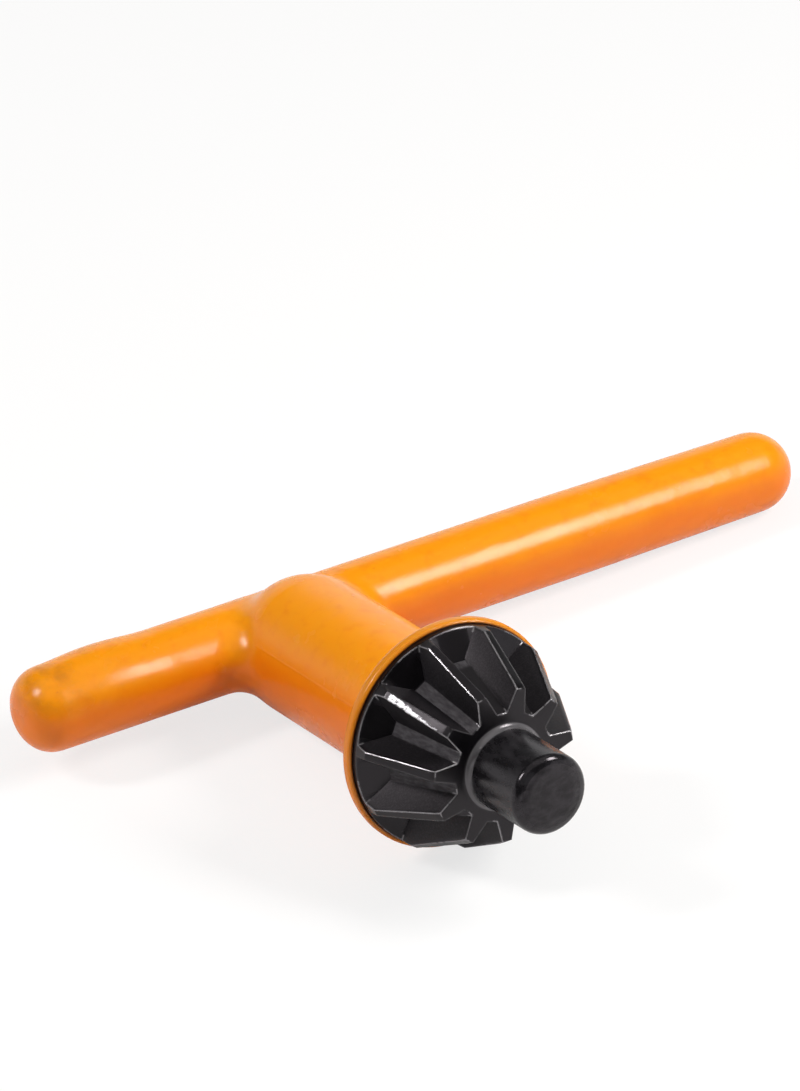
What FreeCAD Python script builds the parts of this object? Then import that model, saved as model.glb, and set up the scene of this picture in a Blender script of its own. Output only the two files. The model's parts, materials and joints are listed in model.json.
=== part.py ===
import FreeCAD, Part
import math
import os

import Sketcher

# Drill chuck key: a black steel key with a pilot pin and a bevel pinion, a steel tommy bar
# through its shank, and an orange T handle moulded round both.
#
# Every piece is drawn in the key's own frame. The tommy bar lies along X, with the long arm
# of the T towards +X. The key's axis is Y, and the pilot points towards -Y. Z is square to
# the T. Distances called "from the bar" run along the key's axis, from the bar's centre
# line towards the pilot. At the end the whole key is laid down as it comes to rest.

SIZES = {
    # Pilot pin, which turns in the hole of the chuck body
    "pilot_diameter": 8.0,
    "pilot_length": 8.0,
    "pilot_edge_round": 0.8,
    "pilot_root_round": 0.6,
    # Bevel pinion: the back of its disc from the bar, then lengths from there forwards
    "disc_back": 29.8,
    "disc_edge_length": 2.8,
    "cone_length": 7.0,
    "disc_diameter": 22.0,
    "tip_diameter": 16.0,
    "tip_chamfer": 0.5,
    "tip_chamfer_rise": 0.3,
    # Teeth: their gaps start in a leaning wall in front of a solid web of the disc
    "web_length": 1.3,
    "gap_wall_run": 1.25,
    "tooth_depth_back": 2.8,
    "tooth_depth_front": 2.6,
    "teeth_count": 11,
    "teeth_turn": 2.4,
    "land_width_back": 1.2,
    "land_width_front": 1.0,
    "floor_width_back": 1.25,
    "floor_width_front": 1.0,
    "gap_height_ratio": 2.0,
    "cut_overrun": 1.5,
    # Shank inside the handle
    "shank_diameter": 7.4,
    "shank_end": 3.3,
    "shank_end_round": 3.0,
    "back_cone_angle": 35.0,
    # Tommy bar, and the plastic that covers its ends
    "bar_diameter": 4.8,
    "bar_edge_chamfer": 0.6,
    "short_end_cover": 2.8,
    "long_end_cover": 3.2,
    # Arms of the handle: reaches from the key's axis, and the diameter beside the barrel on
    # the long arm, with the steps down to the short arm's and to the long arm's tip
    "short_reach": 29.7,
    "arm_diameter": 8.66,
    "short_arm_step": 0.12,
    "short_end_round": 3.3,
    "long_reach": 59.95,
    "long_taper_start": 33.0,
    "long_tip_step": 0.44,
    # Swelling on top of the short arm: its start from the key's axis, then the stations of
    # its sections as shares of the run to the round end, and their shares of its full size
    "swell_start": 14.5,
    "swell_toe_at": 0.17,
    "swell_top_at": 0.42,
    "swell_back_at": 0.72,
    "swell_toe_share": 0.35,
    "swell_back_share": 0.75,
    "swell_growth": 0.15,
    "swell_lift": 0.17,
    # Barrel and rim of the handle
    "barrel_diameter": 14.1,
    "dome_centre": 5.0,
    "rim_wall": 0.42,
    "rim_setback": 0.3,
    "rim_lap": 0.7,
    "rim_front_round": 0.3,
    "rim_back_round": 0.5,
    "flare_round": 4.0,
    "arm_blend": 3.3,
    # Clearances between the pieces
    "mould_gap": 0.05,
    "press_gap": 0.01,
}

ZERO = "0"

# Stations from the bar, and radii and reaches, that follow from the sizes
CONE_START = "(sizes.disc_back + sizes.disc_edge_length)"
PINION_FACE = f"({CONE_START} + sizes.cone_length)"
PILOT_END = f"({PINION_FACE} + sizes.pilot_length)"
GAP_WALL_FOOT = "(sizes.disc_back + sizes.web_length + sizes.gap_wall_run)"
ROOT_BACK = "(sizes.disc_diameter / 2 - sizes.tooth_depth_back)"
ROOT_FRONT = "(sizes.tip_diameter / 2 - sizes.tooth_depth_front)"
RIM_BACK = "(sizes.disc_back - sizes.rim_setback)"
RIM_FACE = "(sizes.disc_back + sizes.rim_lap)"
RIM_RADIUS = "(sizes.disc_diameter / 2 + sizes.mould_gap + sizes.rim_wall)"
LONG_TIP_RADIUS = "(sizes.arm_diameter - sizes.long_tip_step) / 2"
BAR_SHORT_REACH = "(sizes.short_reach - sizes.short_end_cover - sizes.mould_gap)"
BAR_LONG_REACH = "(sizes.long_reach - sizes.long_end_cover - sizes.mould_gap)"


def make_sheet(document):
    """Put every driving dimension in a spreadsheet cell with an alias."""
    sheet = document.addObject("Spreadsheet::Sheet", "sizes")
    for row, (alias, value) in enumerate(SIZES.items(), start=1):
        sheet.set(f"A{row}", alias)
        sheet.set(f"B{row}", str(value))
        sheet.setAlias(f"B{row}", alias)
    document.recompute()
    return sheet


def size(alias):
    """Value of one driving dimension, read from the sheet."""
    return float(getattr(sizes, alias))


def value_of(expression):
    """Number that an expression on the sheet gives, in mm."""
    result = sizes.evalExpression(expression)
    return float(getattr(result, "Value", result))


def make_body(name):
    body = doc.addObject("PartDesign::Body", name)
    body.Label = name
    return body


def origin_plane(body, role):
    """The body's own origin plane with this role."""
    return next(item for item in body.Origin.OriginFeatures if item.Role == role)


def new_sketch(body, name, role, station=ZERO, height=ZERO, lean=ZERO):
    """A sketch on an origin plane, moved along its normal, up, and leaned about its X."""
    sketch = body.newObject("Sketcher::SketchObject", name)
    sketch.AttachmentSupport = [(origin_plane(body, role), "")]
    sketch.MapMode = "FlatFace"
    turn = FreeCAD.Rotation(FreeCAD.Vector(1, 0, 0), value_of(lean))
    move = FreeCAD.Vector(0, value_of(height), value_of(station))
    sketch.AttachmentOffset = FreeCAD.Placement(move, turn)
    if station != ZERO:
        sketch.setExpression("AttachmentOffset.Base.z", station)
    if height != ZERO:
        sketch.setExpression("AttachmentOffset.Base.y", height)
    if lean != ZERO:
        sketch.setExpression("AttachmentOffset.Rotation.Angle", lean)
    return sketch


def pin_coordinate(sketch, kind, geometry, point, name, expression):
    """Hold one coordinate of a point: on the axis for zero, else bound to the sheet."""
    if expression == ZERO:
        axis = -2 if kind == "DistanceX" else -1
        sketch.addConstraint(Sketcher.Constraint("PointOnObject", geometry, point, axis))
        return
    value = value_of(expression)
    index = sketch.addConstraint(Sketcher.Constraint(kind, -1, 1, geometry, point, value))
    sketch.renameConstraint(index, name)
    sketch.setExpression("Constraints." + name, expression)


def draw_outline(sketch, corners):
    """Closed outline through corners given as expressions.

    A corner is (x, y) or (x, y, centre): with a centre, the edge that leaves the corner is
    an arc about it. Where an arc ends, the coordinate given as None follows from the arc.
    """
    points = []
    for corner in corners:
        points.append([None if item is None else value_of(item) for item in corner[:2]])
    for number, corner in enumerate(corners):
        if len(corner) == 3:
            start = points[number]
            end = points[(number + 1) % len(corners)]
            middle = [value_of(item) for item in corner[2]]
            radius = math.dist(start, middle)
            known = 1 if end[0] is None else 0
            if end[0] is None or end[1] is None:
                other = 1 - known
                reach = math.sqrt(max(radius ** 2 - (end[known] - middle[known]) ** 2, 0.0))
                end[other] = middle[other] + reach
    ends = []
    for number, corner in enumerate(corners):
        start = FreeCAD.Vector(*points[number], 0)
        end = FreeCAD.Vector(*points[(number + 1) % len(corners)], 0)
        if len(corner) == 2:
            geometry = sketch.addGeometry(Part.LineSegment(start, end))
            ends.append((geometry, 1, 2))
            continue
        middle = FreeCAD.Vector(*[value_of(item) for item in corner[2]], 0)
        circle = Part.Circle(middle, FreeCAD.Vector(0, 0, 1), (start - middle).Length)
        clockwise = (start - middle).cross(end - middle).z < 0
        first, last = (end, start) if clockwise else (start, end)
        arc = Part.ArcOfCircle(circle, circle.parameter(first), circle.parameter(last))
        geometry = sketch.addGeometry(arc)
        ends.append((geometry, 2, 1) if clockwise else (geometry, 1, 2))
        pin_coordinate(sketch, "DistanceX", geometry, 3, f"centre_across_{number}", corner[2][0])
        pin_coordinate(sketch, "DistanceY", geometry, 3, f"centre_along_{number}", corner[2][1])
    for number, corner in enumerate(corners):
        geometry, first, _ = ends[number]
        before, _, last = ends[number - 1]
        sketch.addConstraint(Sketcher.Constraint("Coincident", before, last, geometry, first))
        if corner[0] is not None:
            pin_coordinate(sketch, "DistanceX", geometry, first, f"across_{number}", corner[0])
        if corner[1] is not None:
            pin_coordinate(sketch, "DistanceY", geometry, first, f"along_{number}", corner[1])


def draw_circle(sketch, radius, rise=ZERO):
    """Circle on the sketch's Y axis, at a height and with a radius from the sheet."""
    centre = FreeCAD.Vector(0, value_of(rise), 0)
    circle = Part.Circle(centre, FreeCAD.Vector(0, 0, 1), value_of(radius))
    geometry = sketch.addGeometry(circle)
    pin_coordinate(sketch, "DistanceX", geometry, 3, "centre_across", ZERO)
    pin_coordinate(sketch, "DistanceY", geometry, 3, "centre_along", rise)
    index = sketch.addConstraint(Sketcher.Constraint("Radius", geometry, value_of(radius)))
    sketch.renameConstraint(index, "radius")
    sketch.setExpression("Constraints.radius", radius)


def turn(body, kind, name, axis, corners):
    """Full revolution or groove of an outline in the XY plane, about one of its axes."""
    sketch = new_sketch(body, name + "_sketch", "XY_Plane")
    draw_outline(sketch, corners)
    feature = body.newObject("PartDesign::" + kind, name)
    feature.Profile = sketch
    feature.ReferenceAxis = (sketch, [axis])
    feature.Angle = 360
    doc.recompute()
    return feature


def loft(body, kind, name, sections):
    """Loft through section sketches, added to or cut from the body."""
    feature = body.newObject("PartDesign::" + kind, name)
    feature.Profile = sections[0]
    feature.Sections = sections[1:]
    doc.recompute()
    return feature


def round_edges(body, name, radius, test):
    """Fillet of the edges of the body's tip that pass a test."""
    base = body.Tip
    edges = [f"Edge{number}" for number, edge in enumerate(base.Shape.Edges, start=1)
             if not edge.Degenerated and test(edge)]
    feature = body.newObject("PartDesign::Fillet", name)
    feature.Base = (base, edges)
    feature.setExpression("Radius", radius)
    doc.recompute()
    return feature


def ring(radius, station):
    """Test for the circular edge about the key's axis, at a radius and from the bar."""
    def matches(edge):
        curve = edge.Curve
        if curve.TypeId != "Part::GeomCircle":
            return False
        on_axis = math.hypot(curve.Center.x, curve.Center.z) < 1e-4
        return (on_axis and abs(curve.Radius - radius) < 1e-3
                and abs(curve.Center.y + station) < 1e-3)
    return matches


def make_key():
    """Steel key: shank, head, pinion teeth and pilot, turned and cut from one bar."""
    body = make_body("pinion_key")
    shank = "sizes.shank_diameter / 2"
    disc = "sizes.disc_diameter / 2"
    tip = "sizes.tip_diameter / 2"
    pilot = "sizes.pilot_diameter / 2"
    back_cone = f"({disc} - {shank}) * tan(sizes.back_cone_angle * 1 deg)"
    turn(body, "Revolution", "turned_blank", "V_Axis", [
        (ZERO, "sizes.shank_end"),
        (shank, "sizes.shank_end"),
        (shank, f"-(sizes.disc_back - {back_cone})"),
        (disc, "-sizes.disc_back"),
        (disc, f"-{CONE_START}"),
        (tip, f"-({PINION_FACE} - sizes.tip_chamfer)"),
        (f"{tip} - sizes.tip_chamfer_rise", f"-{PINION_FACE}"),
        (pilot, f"-{PINION_FACE}"),
        (pilot, f"-{PILOT_END}"),
        (ZERO, f"-{PILOT_END}"),
    ])
    pilot_radius = value_of(pilot)
    round_edges(body, "pilot_root", "sizes.pilot_root_round",
                ring(pilot_radius, value_of(PINION_FACE)))
    round_edges(body, "pilot_edge", "sizes.pilot_edge_round",
                ring(pilot_radius, value_of(PILOT_END)))
    round_edges(body, "shank_round", "sizes.shank_end_round",
                ring(value_of(shank), -size("shank_end")))

    # One tooth gap is a trapezoid that narrows towards the pilot. Its flat floor follows
    # the root cone, and its back wall leans, as the run-out of a form cutter does.
    half_pitch = "180 deg / sizes.teeth_count"
    lean = "atan(sizes.gap_wall_run / sizes.tooth_depth_back)"
    back = new_sketch(body, "gap_back", "XZ_Plane", GAP_WALL_FOOT, ROOT_BACK, f"-{lean}")
    draw_gap(back, disc, "sizes.land_width_back", "sizes.floor_width_back",
             ROOT_BACK, f"cos({lean})", half_pitch)
    root_slope = f"({ROOT_BACK} - {ROOT_FRONT}) / ({PINION_FACE} - {GAP_WALL_FOOT})"
    front_root = f"({ROOT_FRONT} - sizes.cut_overrun * {root_slope})"
    front_tip = (f"({tip} - (sizes.cut_overrun + sizes.tip_chamfer) * ({disc} - {tip})"
                 " / (sizes.cone_length - sizes.tip_chamfer))")
    front = new_sketch(body, "gap_front", "XZ_Plane",
                       f"{PINION_FACE} + sizes.cut_overrun", front_root)
    draw_gap(front, front_tip, "sizes.land_width_front", "sizes.floor_width_front",
             front_root, "1", half_pitch)
    gap = loft(body, "SubtractiveLoft", "tooth_gap", [back, front])
    pattern = body.newObject("PartDesign::PolarPattern", "tooth_gaps")
    pattern.Originals = [gap]
    pattern.Axis = (origin_plane(body, "Y_Axis"), [""])
    pattern.Angle = 360
    pattern.setExpression("Occurrences", "sizes.teeth_count")
    body.Tip = pattern
    doc.recompute()

    hole = new_sketch(body, "bar_hole_sketch", "YZ_Plane", lean="-sizes.teeth_turn")
    draw_circle(hole, "sizes.bar_diameter / 2 + sizes.press_gap")
    bore = body.newObject("PartDesign::Pocket", "bar_hole")
    bore.Profile = hole
    bore.Type = "ThroughAll"
    bore.Midplane = True
    doc.recompute()
    return body


def draw_gap(sketch, outer, land, floor, root, cosine, half_pitch):
    """Trapezoid of one gap: its flanks pass through the edges of the top lands.

    It is taller than the teeth by the height ratio, so that the cut clears their tops.
    """
    half_angle = f"({half_pitch} - asin({land} / 2 / ({outer})))"
    edge_across = f"({outer}) * sin({half_angle})"
    edge_rise = f"(({outer}) * cos({half_angle}) - {root}) / {cosine}"
    top_across = f"({floor} / 2 + ({edge_across} - {floor} / 2) * sizes.gap_height_ratio)"
    top_rise = f"{edge_rise} * sizes.gap_height_ratio"
    draw_outline(sketch, [
        (f"-{floor} / 2", ZERO),
        (f"{floor} / 2", ZERO),
        (top_across, top_rise),
        (f"-{top_across}", top_rise),
    ])


def make_bar():
    """Steel tommy bar, pressed through the shank and chamfered at both ends."""
    body = make_body("tommy_bar")
    radius = "sizes.bar_diameter / 2"
    chamfer = "sizes.bar_edge_chamfer"
    turn(body, "Revolution", "rod", "H_Axis", [
        (f"-{BAR_SHORT_REACH}", ZERO),
        (f"-{BAR_SHORT_REACH}", f"{radius} - {chamfer}"),
        (f"-{BAR_SHORT_REACH} + {chamfer}", radius),
        (f"{BAR_LONG_REACH} - {chamfer}", radius),
        (BAR_LONG_REACH, f"{radius} - {chamfer}"),
        (BAR_LONG_REACH, ZERO),
    ])
    return body


def make_handle():
    """Moulded handle: two arms, a domed barrel and a thin rim round the steel head."""
    body = make_body("handle")
    long_radius = "sizes.arm_diameter / 2"
    short_radius = "(sizes.arm_diameter - sizes.short_arm_step) / 2"
    tip_centre = f"sizes.long_reach - {LONG_TIP_RADIUS}"
    turn(body, "Revolution", "arms", "H_Axis", [
        ("-sizes.swell_start", ZERO),
        ("-sizes.swell_start", short_radius),
        ("-sizes.barrel_diameter / 2", short_radius),
        ("sizes.barrel_diameter / 2", long_radius),
        ("sizes.long_taper_start", long_radius),
        (tip_centre, LONG_TIP_RADIUS, (tip_centre, ZERO)),
        (None, ZERO),
    ])

    # The short arm swells a little on top, so its sections grow and rise together
    end_start = "sizes.short_reach - sizes.short_end_round"
    swell_run = f"({end_start} - sizes.swell_start)"
    sections = []
    for name, station, share in (("swell_foot", "0", ZERO),
                                 ("swell_toe", "sizes.swell_toe_at", "sizes.swell_toe_share"),
                                 ("swell_top", "sizes.swell_top_at", "1"),
                                 ("swell_back", "sizes.swell_back_at", "sizes.swell_back_share"),
                                 ("swell_end", "1", ZERO)):
        section = new_sketch(body, name, "YZ_Plane",
                             f"-(sizes.swell_start + {swell_run} * {station})")
        rise = ZERO if share == ZERO else f"sizes.swell_lift * {share}"
        draw_circle(section, f"{short_radius} + sizes.swell_growth * {share}", rise)
        sections.append(section)
    loft(body, "AdditiveLoft", "short_arm", sections)
    cap_flat = f"{short_radius} - sizes.short_end_round"
    turn(body, "Revolution", "short_end", "H_Axis", [
        (f"-({end_start})", ZERO),
        ("-sizes.short_reach", ZERO),
        ("-sizes.short_reach", cap_flat, (f"-({end_start})", cap_flat)),
        (f"-({end_start})", None),
    ])

    barrel = "sizes.barrel_diameter / 2"
    flare = f"{RIM_BACK} - ({RIM_RADIUS} - {barrel}) * tan(sizes.back_cone_angle * 1 deg)"
    turn(body, "Revolution", "barrel", "V_Axis", [
        (ZERO, f"{barrel} - sizes.dome_centre", (ZERO, "-sizes.dome_centre")),
        (None, "-sizes.dome_centre"),
        (barrel, f"-({flare})"),
        (RIM_RADIUS, f"-{RIM_BACK}"),
        (RIM_RADIUS, f"-{RIM_FACE}"),
        (ZERO, f"-{RIM_FACE}"),
    ])
    round_edges(body, "arm_blends", "sizes.arm_blend", is_arm_seam)
    round_edges(body, "flare_blend", "sizes.flare_round",
                ring(value_of(barrel), value_of(flare)))
    round_edges(body, "rim_back_edge", "sizes.rim_back_round",
                ring(value_of(RIM_RADIUS), value_of(RIM_BACK)))
    round_edges(body, "rim_front_edge", "sizes.rim_front_round",
                ring(value_of(RIM_RADIUS), value_of(RIM_FACE)))

    # The steel sits in the handle with a thin moulding gap all round
    shank = "(sizes.shank_diameter / 2 + sizes.mould_gap)"
    seat = "(sizes.disc_diameter / 2 + sizes.mould_gap)"
    seat_cone = f"({seat} - {shank}) * tan(sizes.back_cone_angle * 1 deg)"
    shank_depth = "(sizes.shank_end + sizes.mould_gap)"
    turn(body, "Groove", "shank_bore", "V_Axis", [
        (ZERO, shank_depth),
        (f"{shank} - sizes.shank_end_round", shank_depth,
         (f"{shank} - sizes.shank_end_round", f"{shank_depth} - sizes.shank_end_round")),
        (None, f"{shank_depth} - sizes.shank_end_round"),
        (shank, f"-(sizes.disc_back - {seat_cone})"),
        (seat, "-sizes.disc_back"),
        (seat, f"-({RIM_FACE} + sizes.cut_overrun)"),
        (ZERO, f"-({RIM_FACE} + sizes.cut_overrun)"),
    ])
    bore = "sizes.bar_diameter / 2 + sizes.mould_gap"
    turn(body, "Groove", "bar_bore", "H_Axis", [
        (f"-({BAR_SHORT_REACH} + sizes.mould_gap)", ZERO),
        (f"-({BAR_SHORT_REACH} + sizes.mould_gap)", bore),
        (f"{BAR_LONG_REACH} + sizes.mould_gap", bore),
        (f"{BAR_LONG_REACH} + sizes.mould_gap", ZERO),
    ])
    return body


def is_arm_seam(edge):
    """The seam where the arms run into the barrel: on the barrel and off its own circles."""
    radius = size("barrel_diameter") / 2
    centre = size("dome_centre")
    if edge.Length < radius:
        return False
    steps = 10
    for step in range(1, steps):
        point = edge.valueAt(edge.FirstParameter
                             + step / steps * (edge.LastParameter - edge.FirstParameter))
        along = min(-point.y, centre) - centre
        on_barrel = abs(math.hypot(point.x, along, point.z) - radius) < 1e-3
        in_arms = math.hypot(point.y, point.z) < size("arm_diameter") / 2 + 1e-3
        if not (on_barrel and in_arms):
            return False
    return True


def resting_turn():
    """Rotation that lays the key down on its rim, its barrel and the tip of its long arm."""
    barrel = size("barrel_diameter") / 2
    round_off = size("rim_back_round")
    turn_angle = math.radians(90 - size("back_cone_angle"))
    rim_along = value_of(RIM_BACK) + round_off * math.tan(turn_angle / 2)
    rim_drop = value_of(RIM_RADIUS) - round_off
    run = rim_along - size("dome_centre")
    pitch = math.atan2(rim_drop, run) + math.asin((round_off - barrel) / math.hypot(run, rim_drop))
    bar_height = barrel - size("dome_centre") * math.sin(pitch)
    tip = value_of(LONG_TIP_RADIUS)
    roll = math.asin((bar_height - tip) / ((size("long_reach") - tip) * math.cos(pitch)))
    nose_up = FreeCAD.Rotation(FreeCAD.Vector(1, 0, 0), -math.degrees(pitch))
    arm_down = FreeCAD.Rotation(FreeCAD.Vector(0, 1, 0), math.degrees(roll))
    return nose_up * arm_down


def lay_down(bodies):
    """Turn all pieces to rest, with the origin under the middle of the whole key's box.

    The steel key is drawn with a tooth gap on top, and turns about its own axis by the angle
    at which it is set in the handle. Its bar hole is drawn turned back by that angle.
    """
    rotation = resting_turn()
    pinion_turn = FreeCAD.Rotation(FreeCAD.Vector(0, 1, 0), size("teeth_turn"))
    for body in bodies:
        own_turn = pinion_turn if body.Label == "pinion_key" else FreeCAD.Rotation()
        body.Placement = FreeCAD.Placement(FreeCAD.Vector(0, 0, 0), rotation * own_turn)
    doc.recompute()
    box = Part.makeCompound([body.Shape for body in bodies]).optimalBoundingBox(False, False)
    base = FreeCAD.Vector(-box.Center.x, -box.Center.y, -box.ZMin)
    for body in bodies:
        body.Placement = FreeCAD.Placement(base, body.Placement.Rotation)
    doc.recompute()


def check_and_export(bodies):
    """Stop on any failed feature or bad shape, then write one STEP file for each piece."""
    for item in doc.Objects:
        if "Invalid" in item.State or "Error" in item.State:
            raise RuntimeError(f"{item.Name} failed: {item.State}")
    for body in bodies:
        if body.Shape.isNull() or not body.Shape.isValid() or len(body.Shape.Solids) != 1:
            raise RuntimeError(f"{body.Label} is not one valid solid")
    os.makedirs("parts", exist_ok=True)
    for body in bodies:
        body.Shape.exportStep(os.path.join("parts", body.Label + ".step"))
        print(body.Label, round(body.Shape.Volume, 2), "mm3")


doc = FreeCAD.newDocument("drill_chuck_key")
sizes = make_sheet(doc)
pieces = [make_key(), make_bar(), make_handle()]
lay_down(pieces)
check_and_export(pieces)
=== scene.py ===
import json
import math

import bpy
from mathutils import Matrix, Vector

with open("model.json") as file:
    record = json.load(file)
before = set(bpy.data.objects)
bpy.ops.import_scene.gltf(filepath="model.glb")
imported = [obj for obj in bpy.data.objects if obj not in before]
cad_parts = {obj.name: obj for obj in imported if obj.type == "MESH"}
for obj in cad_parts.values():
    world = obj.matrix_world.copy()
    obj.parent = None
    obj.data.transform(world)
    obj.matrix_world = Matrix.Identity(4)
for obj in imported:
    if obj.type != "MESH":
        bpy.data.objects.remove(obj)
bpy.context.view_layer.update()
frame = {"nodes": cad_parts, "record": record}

# Camera, at the photograph's viewing angle. Angles are in degrees and lengths in metres, but
# the focal length and the sensor are in mm.
CAMERA_AIM = Vector((-0.002951, 0.018993, 0.012852))
CAMERA_AZIMUTH = -32.432
CAMERA_ELEVATION = 33.948
CAMERA_ROLL = 0.978
CAMERA_DISTANCE = 0.65
FOCAL_LENGTH = 219.46
SENSOR_WIDTH = 36.0

# Studio lamps: name, azimuth, elevation, roll, distance, width, height, watts and colour, with
# angles in degrees and lengths in metres
LAMPS = (
    ("right_strip", 48.0, 45.5, 35.0, 0.30, 0.07, 0.13, 0.81, (1.0, 0.98, 0.95)),
    ("left_softbox", -112.0, 44.0, 0.0, 0.60, 0.08, 0.16, 1.85, (1.0, 0.98, 0.96)),
    ("top_panel", -20.0, 88.0, 0.0, 0.90, 1.10, 1.10, 2.3, (1.0, 0.98, 0.95)),
)

# The studio round the key is dim, but white from the horizon up to a height at the sides, and
# higher by a rise behind the key. These are sines of the elevation. A reach is two cosines of
# the angle from the backdrop's azimuth: where the white starts, and where it has its height.
DIM_STRENGTH = 0.07
SIDE_HEIGHT = 0.32
SIDE_REACH = (-0.92, -0.45)
BACKDROP_AZIMUTH = 148.0
BACKDROP_RISE = 0.14
BACKDROP_REACH = (0.7, 0.95)
WHITE_EDGE = 0.12
WHITE = (1.0, 1.0, 1.0, 1.0)

# The floor, and the share of it that glows where the camera or a reflection shows it
FLOOR_WIDTH = 6.0
FLOOR_COLOUR = (0.9, 0.9, 0.9, 1.0)
FLOOR_GLOW_SEEN = 0.75
FLOOR_GLOW_IN_GLOSS = 0.2

# How the key lies: the pilot's mount gives its axis, the bar crosses the axis this many metres
# behind the mount, and the long arm leans down by this many degrees
BAR_FROM_PILOT_MOUNT = 0.0435
ARM_DOWN_ANGLE = 2.1674
MM = 0.001

# Places on the key in its own frame, in mm: radii are measured from the key's axis, and the
# others along it from the bar
PINION_FACE = 39.6
ROOT_RADIUS_BACK = 8.2
ROOT_RADIUS_FRONT = 5.4
GAP_WALL_FOOT = 32.35
GAP_WALL_TOP = 31.1
TIP_RADIUS_BACK = 11.0
TIP_RADIUS_FRONT = 7.77
CONE_START = 32.6
PILOT_RADIUS = 4.0
PILOT_END = 47.6
DISC_RADIUS = 11.0
RIM_BACK = 29.5
RIM_FACE = 30.5

# The number of teeth, and the wear on them in mm: how round the edges look and where the scrape on
# one land starts and ends; and how far from its wall's foot the floor of a gap is painted lit
TEETH = 11
EDGE_ROUND = 0.28
SCRAPE_START = 32.9
SCRAPE_END = 38.7
LIT_FLOOR_REACH = (1.1, 0.7)

# Angles round the key's axis, in degrees from straight up towards the long arm: the scraped land,
# the side to which the worn edges with their painted glints face, and between which two the gap
# floors are painted lit over their whole length
SCRAPED_LAND = -46.7
WORN_GLINT_SIDE = -63.0
LIT_FLOOR_ANGLES = (-8.0, -22.0)

# The mould seam on the barrel and the grime on the short arm, in mm: how far up and how wide
# the seam is, and between which two places each of them fades in or out
SEAM_UP = 2.5
SEAM_WIDTH = 0.16
SEAM_STARTS = (5.5, 7.5)
SEAM_ENDS = (25.5, 22.5)
SEAM_SIDE = (-3.0, -4.0)
GRIME_ALONG = (-17.0, -28.5)
GRIME_UP = (-0.5, 3.5)

# Colours of the plastic
ORANGE = (0.70, 0.158, 0.0022)
# painted top light: the lighter, yellower orange laid on the upward-facing plastic
TOP_LIT_ORANGE = (0.82, 0.280, 0.003)
MOTTLED_ORANGE = (0.70, 0.150, 0.005)
GRIMY_ORANGE = (0.38, 0.110, 0.010)
SPECKED_ORANGE = (0.50, 0.08, 0.012)
BROWN_RIM = (0.55, 0.19, 0.012)
# dirt and painted shade in the gap where the rim meets the steel
GAP_DIRT_AND_SHADE = (0.09, 0.025, 0.006)

# Colours of the steel, the darker one first where a noise mixes two
OXIDE = ((0.0012, 0.0010, 0.0014), (0.0034, 0.0030, 0.0038))
SANDY_FLANK = ((0.0016, 0.0013, 0.0018), (0.0165, 0.0145, 0.0170))
# the gap floors' painted lit colour, with milled streaks, and below it their painted shaded colour
PAINTED_LIT_FLOOR = ((0.017, 0.016, 0.018), (0.060, 0.057, 0.062))
PAINTED_SHADED_FLOOR = (0.0050, 0.0046, 0.0052)
DUSTY_PILOT = ((0.0045, 0.0042, 0.0050), (0.017, 0.016, 0.018))
CLOUDY_PILOT_END = ((0.0010, 0.0009, 0.0011), (0.018, 0.0165, 0.019))
# pale bare steel on the worn edges, also carrying painted glints
WORN_GLINT_EDGE = (0.60, 0.58, 0.61)
SCRAPED_STEEL = (0.62, 0.61, 0.64)
DRAWN_ROD = ((0.38, 0.38, 0.39), (0.52, 0.52, 0.53))


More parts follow.
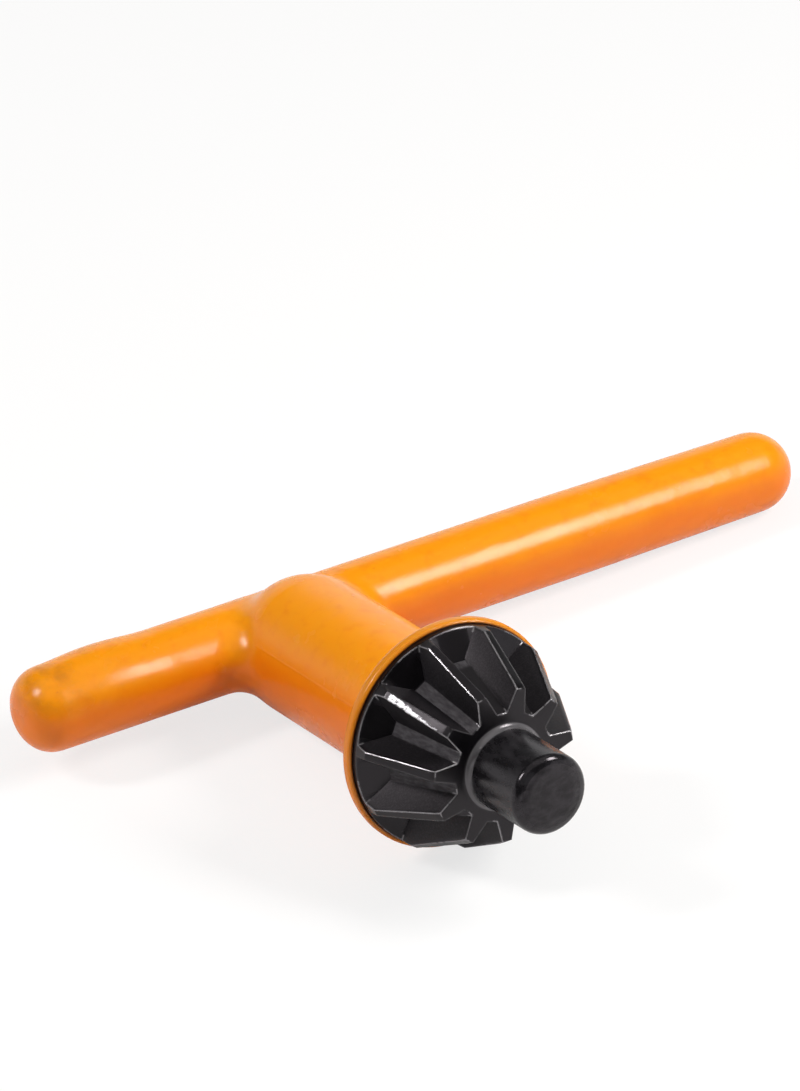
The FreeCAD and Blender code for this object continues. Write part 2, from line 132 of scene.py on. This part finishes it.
class Nodes:
    """Builds the node tree of one material or of the world from short calls."""

    def __init__(self, owner):
        owner.use_nodes = True
        self.owner = owner
        self.tree = owner.node_tree
        self.tree.nodes.clear()
        self.places = None

    def add(self, kind, inputs=None, **settings):
        node = self.tree.nodes.new(kind)
        for key, value in settings.items():
            setattr(node, key, value)
        for key, value in (inputs or {}).items():
            socket = node.inputs[key]
            if isinstance(value, bpy.types.NodeSocket):
                self.tree.links.new(value, socket)
            else:
                socket.default_value = value
        return node

    def math(self, operation, first, second=0.0):
        node = self.add("ShaderNodeMath", {0: first, 1: second}, operation=operation)
        return node.outputs[0]

    def product(self, *factors):
        result = factors[0]
        for factor in factors[1:]:
            result = self.math("MULTIPLY", result, factor)
        return result

    def wrap(self, value, half):
        """The value brought between -half and half by whole steps of twice half."""
        node = self.add("ShaderNodeMath", {0: value, 1: half, 2: -half}, operation="WRAP")
        return node.outputs[0]

    def on_line(self, value, start, end):
        """Height at this value of the straight line through two points."""
        slope = (end[1] - start[1]) / (end[0] - start[0])
        beyond = self.math("SUBTRACT", value, start[0])
        return self.math("ADD", self.math("MULTIPLY", beyond, slope), start[1])

    def fade(self, value, low, high):
        """0 below low and 1 above high, or the other way round where low is above high."""
        limits = {"Value": value, "From Min": low, "From Max": high, "To Min": 0.0, "To Max": 1.0}
        node = self.add("ShaderNodeMapRange", limits, interpolation_type="SMOOTHSTEP")
        return node.outputs["Result"]

    def spread(self, value, low, high):
        """A value from 0 to 1 spread evenly between low and high."""
        limits = {"Value": value, "From Min": 0.0, "From Max": 1.0, "To Min": low, "To Max": high}
        return self.add("ShaderNodeMapRange", limits).outputs["Result"]

    def mix(self, share, first, second):
        """Colour between two colours."""
        node = self.add("ShaderNodeMix", data_type="RGBA")
        for socket, value in ((node.inputs[0], share), (node.inputs[6], first),
                              (node.inputs[7], second)):
            if isinstance(value, bpy.types.NodeSocket):
                self.tree.links.new(value, socket)
            elif isinstance(value, tuple):
                socket.default_value = (*value, 1.0)
            else:
                socket.default_value = value
        return node.outputs[2]

    def blend(self, share, first, second):
        """Number between two numbers."""
        node = self.add("ShaderNodeMix", {0: share, 2: first, 3: second}, data_type="FLOAT")
        return node.outputs[0]

    def key_places(self):
        """Place on the key in mm: the vector, then along the bar, from it, up, and off the axis."""
        if self.places is None:
            coordinates = self.add("ShaderNodeTexCoord").outputs["Object"]
            mapping = self.add("ShaderNodeMapping", {
                "Vector": coordinates,
                "Location": key_base,
                "Rotation": key_rotation.to_euler(),
                "Scale": (MM, MM, MM),
            }, vector_type="TEXTURE")
            split = self.add("ShaderNodeSeparateXYZ", {0: mapping.outputs[0]})
            along = split.outputs["X"]
            station = self.math("MULTIPLY", split.outputs["Y"], -1.0)
            up = split.outputs["Z"]
            radius = self.math("SQRT", self.math("ADD", self.math("MULTIPLY", along, along),
                                                 self.math("MULTIPLY", up, up)))
            self.places = mapping.outputs[0], along, station, up, radius
        return self.places

    def noise(self, size_mm, detail=3.0, roughness=0.55, stretch=(1.0, 1.0, 1.0), shift=0.0):
        """Noise of this size on the key, from 0 to 1, drawn out along an axis by stretch."""
        vector = self.key_places()[0]
        scaled = self.add("ShaderNodeMapping", {
            "Vector": vector,
            "Location": (shift, shift, shift),
            "Scale": tuple(1.0 / (size_mm * part) for part in stretch),
        })
        node = self.add("ShaderNodeTexNoise", {
            "Vector": scaled.outputs[0], "Scale": 1.0, "Detail": detail, "Roughness": roughness})
        return node.outputs["Fac"]

    def bump(self, height, distance_mm, normal=None):
        inputs = {"Height": height, "Strength": 1.0, "Distance": distance_mm * MM}
        if normal is not None:
            inputs["Normal"] = normal
        return self.add("ShaderNodeBump", inputs).outputs["Normal"]

    def finish(self, shader, output="ShaderNodeOutputMaterial"):
        self.add(output, {"Surface": shader})
        return self.owner


def direction(azimuth, elevation):
    """Unit vector towards a place seen from the object: azimuth 0 is towards -Y."""
    turn, lift = math.radians(azimuth), math.radians(elevation)
    return Vector((math.sin(turn) * math.cos(lift), -math.cos(turn) * math.cos(lift),
                   math.sin(lift)))


def facing(forward, roll=0.0):
    """Rotation whose -Z looks forward, with its top upwards and leaning right by roll."""
    right = forward.cross(Vector((0, 0, 1))).normalized()
    top = right.cross(forward)
    lean = math.radians(roll)
    top = top * math.cos(lean) + right * math.sin(lean)
    right = forward.cross(top)
    return Matrix((right, top, -forward)).transposed().to_4x4()


def find_key_frame():
    """Where the bar crosses the key's axis, and how the key's own axes lie."""
    mount = next(item for item in frame["record"]["mounts"] if item["name"] == "pilot")
    axis = Vector(mount["axis"])
    base = Vector(mount["pos_m"]) - axis * BAR_FROM_PILOT_MOUNT
    nose_up = Matrix.Rotation(-math.asin(axis.z), 3, "X")
    arm_down = Matrix.Rotation(math.radians(ARM_DOWN_ANGLE), 3, "Y")
    return base, nose_up @ arm_down


def make_camera():
    data = bpy.data.cameras.new("camera")
    data.sensor_width = SENSOR_WIDTH
    data.lens = FOCAL_LENGTH
    camera = bpy.data.objects.new("camera", data)
    towards = direction(CAMERA_AZIMUTH, CAMERA_ELEVATION)
    place = CAMERA_AIM + towards * CAMERA_DISTANCE
    camera.matrix_world = Matrix.Translation(place) @ facing(-towards, CAMERA_ROLL)
    bpy.context.scene.collection.objects.link(camera)
    bpy.context.scene.camera = camera


def make_lamps():
    for name, azimuth, elevation, roll, distance, width, height, watts, colour in LAMPS:
        data = bpy.data.lights.new(name, "AREA")
        data.shape = "RECTANGLE"
        data.size = width
        data.size_y = height
        data.energy = watts
        data.color = colour
        lamp = bpy.data.objects.new(name, data)
        towards = direction(azimuth, elevation)
        lamp.matrix_world = Matrix.Translation(towards * distance) @ facing(-towards, roll)
        bpy.context.scene.collection.objects.link(lamp)


def make_world():
    """White above the horizon at the sides, higher behind the key, and dim elsewhere."""
    world = bpy.data.worlds.new("studio")
    nodes = Nodes(world)
    towards = nodes.add("ShaderNodeTexCoord").outputs["Generated"]
    height = nodes.add("ShaderNodeSeparateXYZ", {0: towards}).outputs["Z"]
    behind = nodes.add("ShaderNodeVectorMath", {0: towards, 1: direction(BACKDROP_AZIMUTH, 0.0)},
                       operation="DOT_PRODUCT").outputs["Value"]
    side = nodes.product(nodes.fade(behind, *SIDE_REACH), SIDE_HEIGHT)
    rise = nodes.product(nodes.fade(behind, *BACKDROP_REACH), BACKDROP_RISE)
    over = nodes.math("SUBTRACT", height, nodes.math("ADD", side, rise))
    white = nodes.fade(over, 0.0, -WHITE_EDGE)
    background = nodes.add("ShaderNodeBackground", {
        "Color": WHITE,
        "Strength": nodes.blend(white, DIM_STRENGTH, 1.0),
    })
    bpy.context.scene.world = nodes.finish(background.outputs[0], "ShaderNodeOutputWorld")


def make_floor():
    """White floor that partly glows where it is seen, so that the shadow on it stays faint."""
    mesh = bpy.data.meshes.new("floor")
    half = FLOOR_WIDTH / 2
    corners = [(-half, -half, 0), (half, -half, 0), (half, half, 0), (-half, half, 0)]
    mesh.from_pydata(corners, [], [(0, 1, 2, 3)])
    floor = bpy.data.objects.new("floor", mesh)
    bpy.context.scene.collection.objects.link(floor)
    nodes = Nodes(bpy.data.materials.new("floor"))
    paper = nodes.add("ShaderNodeBsdfDiffuse", {"Color": FLOOR_COLOUR})
    glow = nodes.add("ShaderNodeEmission", {"Color": WHITE, "Strength": 1.0})
    path = nodes.add("ShaderNodeLightPath")
    reflected = nodes.math("MAXIMUM", path.outputs["Is Glossy Ray"],
                           path.outputs["Is Transmission Ray"])
    share = nodes.math("ADD", nodes.product(path.outputs["Is Camera Ray"], FLOOR_GLOW_SEEN),
                       nodes.product(reflected, FLOOR_GLOW_IN_GLOSS))
    mixed = nodes.add("ShaderNodeMixShader", {0: share, 1: paper.outputs[0], 2: glow.outputs[0]})
    mesh.materials.append(nodes.finish(mixed.outputs[0]))


def mould_seam(nodes):
    """A thin line along the barrel, on the short arm's side."""
    _, along, station, up, _ = nodes.key_places()
    off_seam = nodes.math("ABSOLUTE", nodes.math("SUBTRACT", up, SEAM_UP))
    return nodes.product(nodes.fade(off_seam, SEAM_WIDTH, 0.0), nodes.fade(along, *SEAM_SIDE),
                         nodes.fade(station, *SEAM_STARTS), nodes.fade(station, *SEAM_ENDS))


def orange_plastic():
    """Semi-gloss moulded plastic with painted top light, a faint mould seam, handling grime and
    light scuffs.
    """
    nodes = Nodes(bpy.data.materials.new("orange_plastic"))
    _, along, station, up, radius = nodes.key_places()

    # The plastic is painted a little yellower and lighter on top, as painted top light broken up by
    # soft clouds
    facing_up = nodes.add("ShaderNodeSeparateXYZ", {
        0: nodes.add("ShaderNodeNewGeometry").outputs["Normal"]}).outputs["Z"]
    clouds = nodes.noise(9.0, detail=2.0)
    painted_top_light = nodes.math("ADD", nodes.fade(facing_up, -0.1, 1.0), nodes.spread(clouds, -0.2, 0.2))
    colour = nodes.mix(nodes.fade(painted_top_light, 0.0, 1.0), ORANGE, TOP_LIT_ORANGE)
    mottle = nodes.fade(nodes.noise(1.6, detail=4.0, shift=3.0), 0.50, 0.75)
    colour = nodes.mix(nodes.product(mottle, 0.30), colour, MOTTLED_ORANGE)

    # Grime sits on top of the short arm's end and thins out towards the barrel
    patches = nodes.fade(nodes.noise(4.5, detail=4.0, roughness=0.6, shift=17.0), 0.40, 0.68)
    grime = nodes.product(patches, nodes.fade(along, *GRIME_ALONG), nodes.fade(up, *GRIME_UP), 0.7)
    colour = nodes.mix(grime, colour, GRIMY_ORANGE)
    specks = nodes.fade(nodes.noise(1.1, detail=2.0, shift=11.0), 0.72, 0.80)
    colour = nodes.mix(nodes.product(specks, 0.25), colour, SPECKED_ORANGE)

    # The rim is a little browner, and where it meets the steel it is darkened with dirt and painted
    # shade in the gap
    on_rim = nodes.product(nodes.fade(station, RIM_BACK - 0.6, RIM_BACK),
                           nodes.fade(radius, DISC_RADIUS - 0.4, DISC_RADIUS))
    colour = nodes.mix(nodes.product(on_rim, 0.6), colour, BROWN_RIM)
    inner_edge = nodes.product(nodes.fade(station, RIM_FACE - 0.3, RIM_FACE - 0.1),
                               nodes.fade(radius, DISC_RADIUS + 0.22, DISC_RADIUS + 0.08))
    colour = nodes.mix(nodes.product(inner_edge, 0.8), colour, GAP_DIRT_AND_SHADE)

    roughness = nodes.spread(nodes.noise(4.0, detail=3.0, shift=2.0), 0.21, 0.31)
    roughness = nodes.math("ADD", roughness, nodes.product(grime, 0.12))

    scuffs = nodes.noise(0.7, detail=4.0, stretch=(4.0, 1.0, 1.0), shift=5.0)
    normal = nodes.bump(nodes.noise(2.2, detail=2.0, shift=4.0), 0.05)
    normal = nodes.bump(scuffs, 0.006, normal)
    normal = nodes.bump(mould_seam(nodes), 0.03, normal)
    shader = nodes.add("ShaderNodeBsdfPrincipled", {
        "Base Color": colour,
        "Roughness": roughness,
        "IOR": 1.5,
        "Specular IOR Level": 0.25,
        "Subsurface Weight": 0.10,
        "Subsurface Radius": (1.0, 0.3, 0.05),
        "Subsurface Scale": 0.0012,
        "Normal": normal,
    })
    return nodes.finish(shader.outputs[0])


def pinion_masks(nodes):
    """Masks of the pinion's surfaces, and how far below the teeth's tips a point is, in mm."""
    _, _, station, _, radius = nodes.key_places()

    # The teeth lie between the cones of their roots and tips, in front of the leaning walls
    root = nodes.on_line(station, (GAP_WALL_FOOT, ROOT_RADIUS_BACK),
                         (PINION_FACE, ROOT_RADIUS_FRONT))
    tip = nodes.on_line(station, (CONE_START, TIP_RADIUS_BACK), (PINION_FACE, TIP_RADIUS_FRONT))
    tip = nodes.math("MINIMUM", tip, TIP_RADIUS_BACK)
    wall = nodes.on_line(radius, (ROOT_RADIUS_BACK, GAP_WALL_FOOT),
                         (TIP_RADIUS_BACK, GAP_WALL_TOP))
    above_root = nodes.math("SUBTRACT", radius, root)
    below_tip = nodes.math("SUBTRACT", tip, radius)
    from_wall = nodes.math("SUBTRACT", station, wall)
    in_teeth = nodes.product(nodes.fade(from_wall, 0.04, 0.12),
                             nodes.fade(station, PINION_FACE - 0.02, PINION_FACE - 0.1))
    return {
        "below_tip": below_tip,
        "floors": nodes.product(nodes.fade(above_root, 0.14, 0.06), in_teeth),
        "flanks": nodes.product(nodes.fade(below_tip, 0.15, 0.45), in_teeth),
        "gap_walls": nodes.product(nodes.fade(from_wall, 0.08, 0.04),
                                   nodes.fade(from_wall, -0.2, -0.1)),
        "pilot": nodes.fade(station, PINION_FACE + 0.05, PINION_FACE + 0.3),
        "pilot_root": nodes.product(nodes.fade(station, PINION_FACE + 0.02, PINION_FACE + 0.06),
                                    nodes.fade(station, PINION_FACE + 0.75, PINION_FACE + 0.55)),
        "pilot_edge": nodes.product(nodes.fade(station, PILOT_END - 0.9, PILOT_END - 0.8),
                                    nodes.fade(radius, PILOT_RADIUS - 0.9, PILOT_RADIUS - 0.7)),
        "pilot_end": nodes.product(nodes.fade(station, PILOT_END - 0.06, PILOT_END - 0.01),
                                   nodes.fade(radius, PILOT_RADIUS - 0.5, PILOT_RADIUS - 0.9)),
    }


def round_edges(nodes, below_tip):
    """Normal that is rounded at the teeth's tips, their front and the pilot, and a mask of it."""
    station = nodes.key_places()[2]
    own = nodes.add("ShaderNodeNewGeometry").outputs["Normal"]
    rounded = nodes.add("ShaderNodeBevel", {"Radius": EDGE_ROUND * MM}, samples=8).outputs[0]
    outer = nodes.math("MAXIMUM", nodes.fade(below_tip, 0.6, 0.4),
                       nodes.fade(station, PINION_FACE - 0.6, PINION_FACE - 0.4))
    normal = nodes.add("ShaderNodeMix", {0: outer, 4: own, 5: rounded},
                       data_type="VECTOR").outputs[1]
    same_way = nodes.add("ShaderNodeVectorMath", {0: normal, 1: own},
                         operation="DOT_PRODUCT").outputs["Value"]
    return normal, nodes.fade(same_way, 0.985, 0.93)


def worn_glint_side(nodes, turned):
    """1 on the side of each land that faces the worn side of the key, where the worn edges carry
    painted glints, and 0 on the other.
    """
    radius = nodes.key_places()[4]
    off_land = nodes.math("SUBTRACT", turned, math.radians(SCRAPED_LAND))
    off_nearest = nodes.wrap(off_land, math.pi / TEETH)
    off_side = nodes.wrap(nodes.math("SUBTRACT", turned, math.radians(WORN_GLINT_SIDE)), math.pi)
    away = nodes.product(off_nearest, radius, nodes.math("SIGN", off_side))
    return nodes.fade(away, 0.15, -0.15)


def scrape_mark(nodes, turned, below_tip, ragged):
    """A ragged streak on one land, along its near side, where bare steel shows through."""
    _, _, station, _, radius = nodes.key_places()
    off_land = nodes.math("SUBTRACT", turned, math.radians(SCRAPED_LAND))
    from_land = nodes.math("MULTIPLY", off_land, radius)
    wander = nodes.math("ADD", from_land, nodes.spread(ragged, -0.5, 0.5))
    width = nodes.spread(nodes.fade(station, SCRAPE_END, SCRAPE_START), -0.35, 0.28)
    streak = nodes.product(nodes.fade(wander, -0.48, -0.38),
                           nodes.fade(nodes.math("SUBTRACT", wander, width), 0.06, -0.06))
    return nodes.product(streak, nodes.fade(below_tip, 0.20, 0.10), nodes.fade(ragged, 0.40, 0.46),
                         nodes.fade(station, SCRAPE_START, SCRAPE_START + 0.2),
                         nodes.fade(station, SCRAPE_END, SCRAPE_END - 0.4))


def black_steel():
    """Black oxide on machined steel: glossy lands and pilot, dull flanks and milled floors, with
    painted light and shade on the gap floors and painted glints on worn edges.
    """
    nodes = Nodes(bpy.data.materials.new("black_steel"))
    _, along, station, up, radius = nodes.key_places()
    turned = nodes.math("ARCTAN2", along, up)
    at = pinion_masks(nodes)
    rounded, edges = round_edges(nodes, at["below_tip"])

    sand = nodes.noise(0.16, detail=3.0, roughness=0.7)
    streaks = nodes.noise(0.35, detail=3.0, stretch=(1.0, 9.0, 1.0), shift=6.0)
    patina = nodes.noise(2.4, detail=4.0, shift=1.0)
    smudges = nodes.noise(1.5, detail=5.0, roughness=0.65, stretch=(1.0, 2.0, 0.6), shift=13.0)
    ragged = nodes.noise(0.5, detail=5.0, roughness=0.75, stretch=(1.0, 2.2, 1.0), shift=9.0)

    colour = nodes.mix(nodes.fade(patina, 0.35, 0.7), *OXIDE)
    sandy = nodes.mix(nodes.fade(sand, 0.40, 0.72), *SANDY_FLANK)
    colour = nodes.mix(at["flanks"], colour, sandy)

    # Painted light on the gap floors: some are painted lit over their whole length, the others only
    # by their walls, and the rest is painted shade
    milled = nodes.mix(nodes.fade(streaks, 0.3, 0.75), *PAINTED_LIT_FLOOR)
    first, last = (math.radians(angle) for angle in LIT_FLOOR_ANGLES)
    from_foot = nodes.math("SUBTRACT", station, GAP_WALL_FOOT)
    painted_lit_share = nodes.math("MAXIMUM", nodes.fade(turned, first, last),
                        nodes.fade(from_foot, *LIT_FLOOR_REACH))
    colour = nodes.mix(at["floors"], colour, nodes.mix(painted_lit_share, PAINTED_SHADED_FLOOR, milled))

    blotches = nodes.fade(smudges, 0.35, 0.65)
    colour = nodes.mix(at["pilot"], colour, nodes.mix(blotches, *DUSTY_PILOT))
    colour = nodes.mix(at["pilot_end"], colour, nodes.mix(blotches, *CLOUDY_PILOT_END))

    # Steel shows bare along the worn edges, in dashes, and where one land is scraped. The worn
    # edges are made pale on the side where glints fall, as painted glints on real wear, and the
    # fillet at the pilot's root gets a pale painted glint ring.
    scrape = scrape_mark(nodes, turned, at["below_tip"], ragged)
    bare_and_glint = nodes.product(edges, nodes.blend(worn_glint_side(nodes, turned), 0.06, 0.50),
                         nodes.fade(ragged, 0.30, 0.50))
    bare_and_glint = nodes.math("MAXIMUM", bare_and_glint, nodes.product(at["pilot_root"], 0.18))
    colour = nodes.mix(bare_and_glint, colour, WORN_GLINT_EDGE)
    colour = nodes.mix(scrape, colour, SCRAPED_STEEL)

    roughness = nodes.spread(patina, 0.24, 0.36)
    for mask, value in (
        (at["pilot"], nodes.spread(smudges, 0.20, 0.36)),
        (at["pilot_end"], nodes.spread(smudges, 0.34, 0.50)),
        (at["flanks"], 0.50),
        (at["floors"], 0.55),
        (at["gap_walls"], 0.20),
        (at["pilot_edge"], 0.15),
        (at["pilot_root"], 0.22),
        (edges, 0.16),
        (scrape, 0.50),
    ):
        roughness = nodes.blend(mask, roughness, value)

    # The pilot's end is slightly domed, with an uneven outline
    domed = nodes.math("ADD", radius, nodes.spread(smudges, -0.35, 0.35))
    end_dome = nodes.product(nodes.fade(domed, PILOT_RADIUS - 0.6, PILOT_RADIUS - 1.7),
                             nodes.fade(station, PILOT_END - 0.3, PILOT_END - 0.1))
    grain = nodes.math("ADD", nodes.product(at["flanks"], 0.85), 0.15)
    normal = nodes.bump(nodes.product(sand, grain), 0.016, rounded)
    normal = nodes.bump(nodes.product(streaks, at["floors"]), 0.03, normal)
    normal = nodes.bump(nodes.product(smudges, at["pilot_end"]), 0.05, normal)
    normal = nodes.bump(end_dome, 0.22, normal)
    shader = nodes.add("ShaderNodeBsdfPrincipled", {
        "Base Color": colour,
        "Metallic": nodes.math("MAXIMUM", scrape, bare_and_glint),
        "Roughness": roughness,
        "IOR": 1.5,
        "Specular IOR Level": 0.32,
        "Specular Tint": (1.0, 0.92, 1.0, 1.0),
        "Normal": normal,
    })
    return nodes.finish(shader.outputs[0])


def bright_steel():
    """Drawn rod with fine lengthwise marks."""
    nodes = Nodes(bpy.data.materials.new("bright_steel"))
    marks = nodes.noise(0.3, detail=4.0, stretch=(12.0, 1.0, 1.0))
    shader = nodes.add("ShaderNodeBsdfPrincipled", {
        "Base Color": nodes.mix(marks, *DRAWN_ROD),
        "Metallic": 1.0,
        "Roughness": nodes.spread(marks, 0.25, 0.45),
        "Normal": nodes.bump(marks, 0.01),
    })
    return nodes.finish(shader.outputs[0])


key_base, key_rotation = find_key_frame()
make_camera()
make_lamps()
make_world()
make_floor()
for node, make_material in (("handle", orange_plastic), ("pinion_key", black_steel),
                            ("tommy_bar", bright_steel)):
    material = make_material()
    for slot in frame["nodes"][node].material_slots:
        slot.material = material

bpy.context.scene.view_settings.view_transform = "Standard"
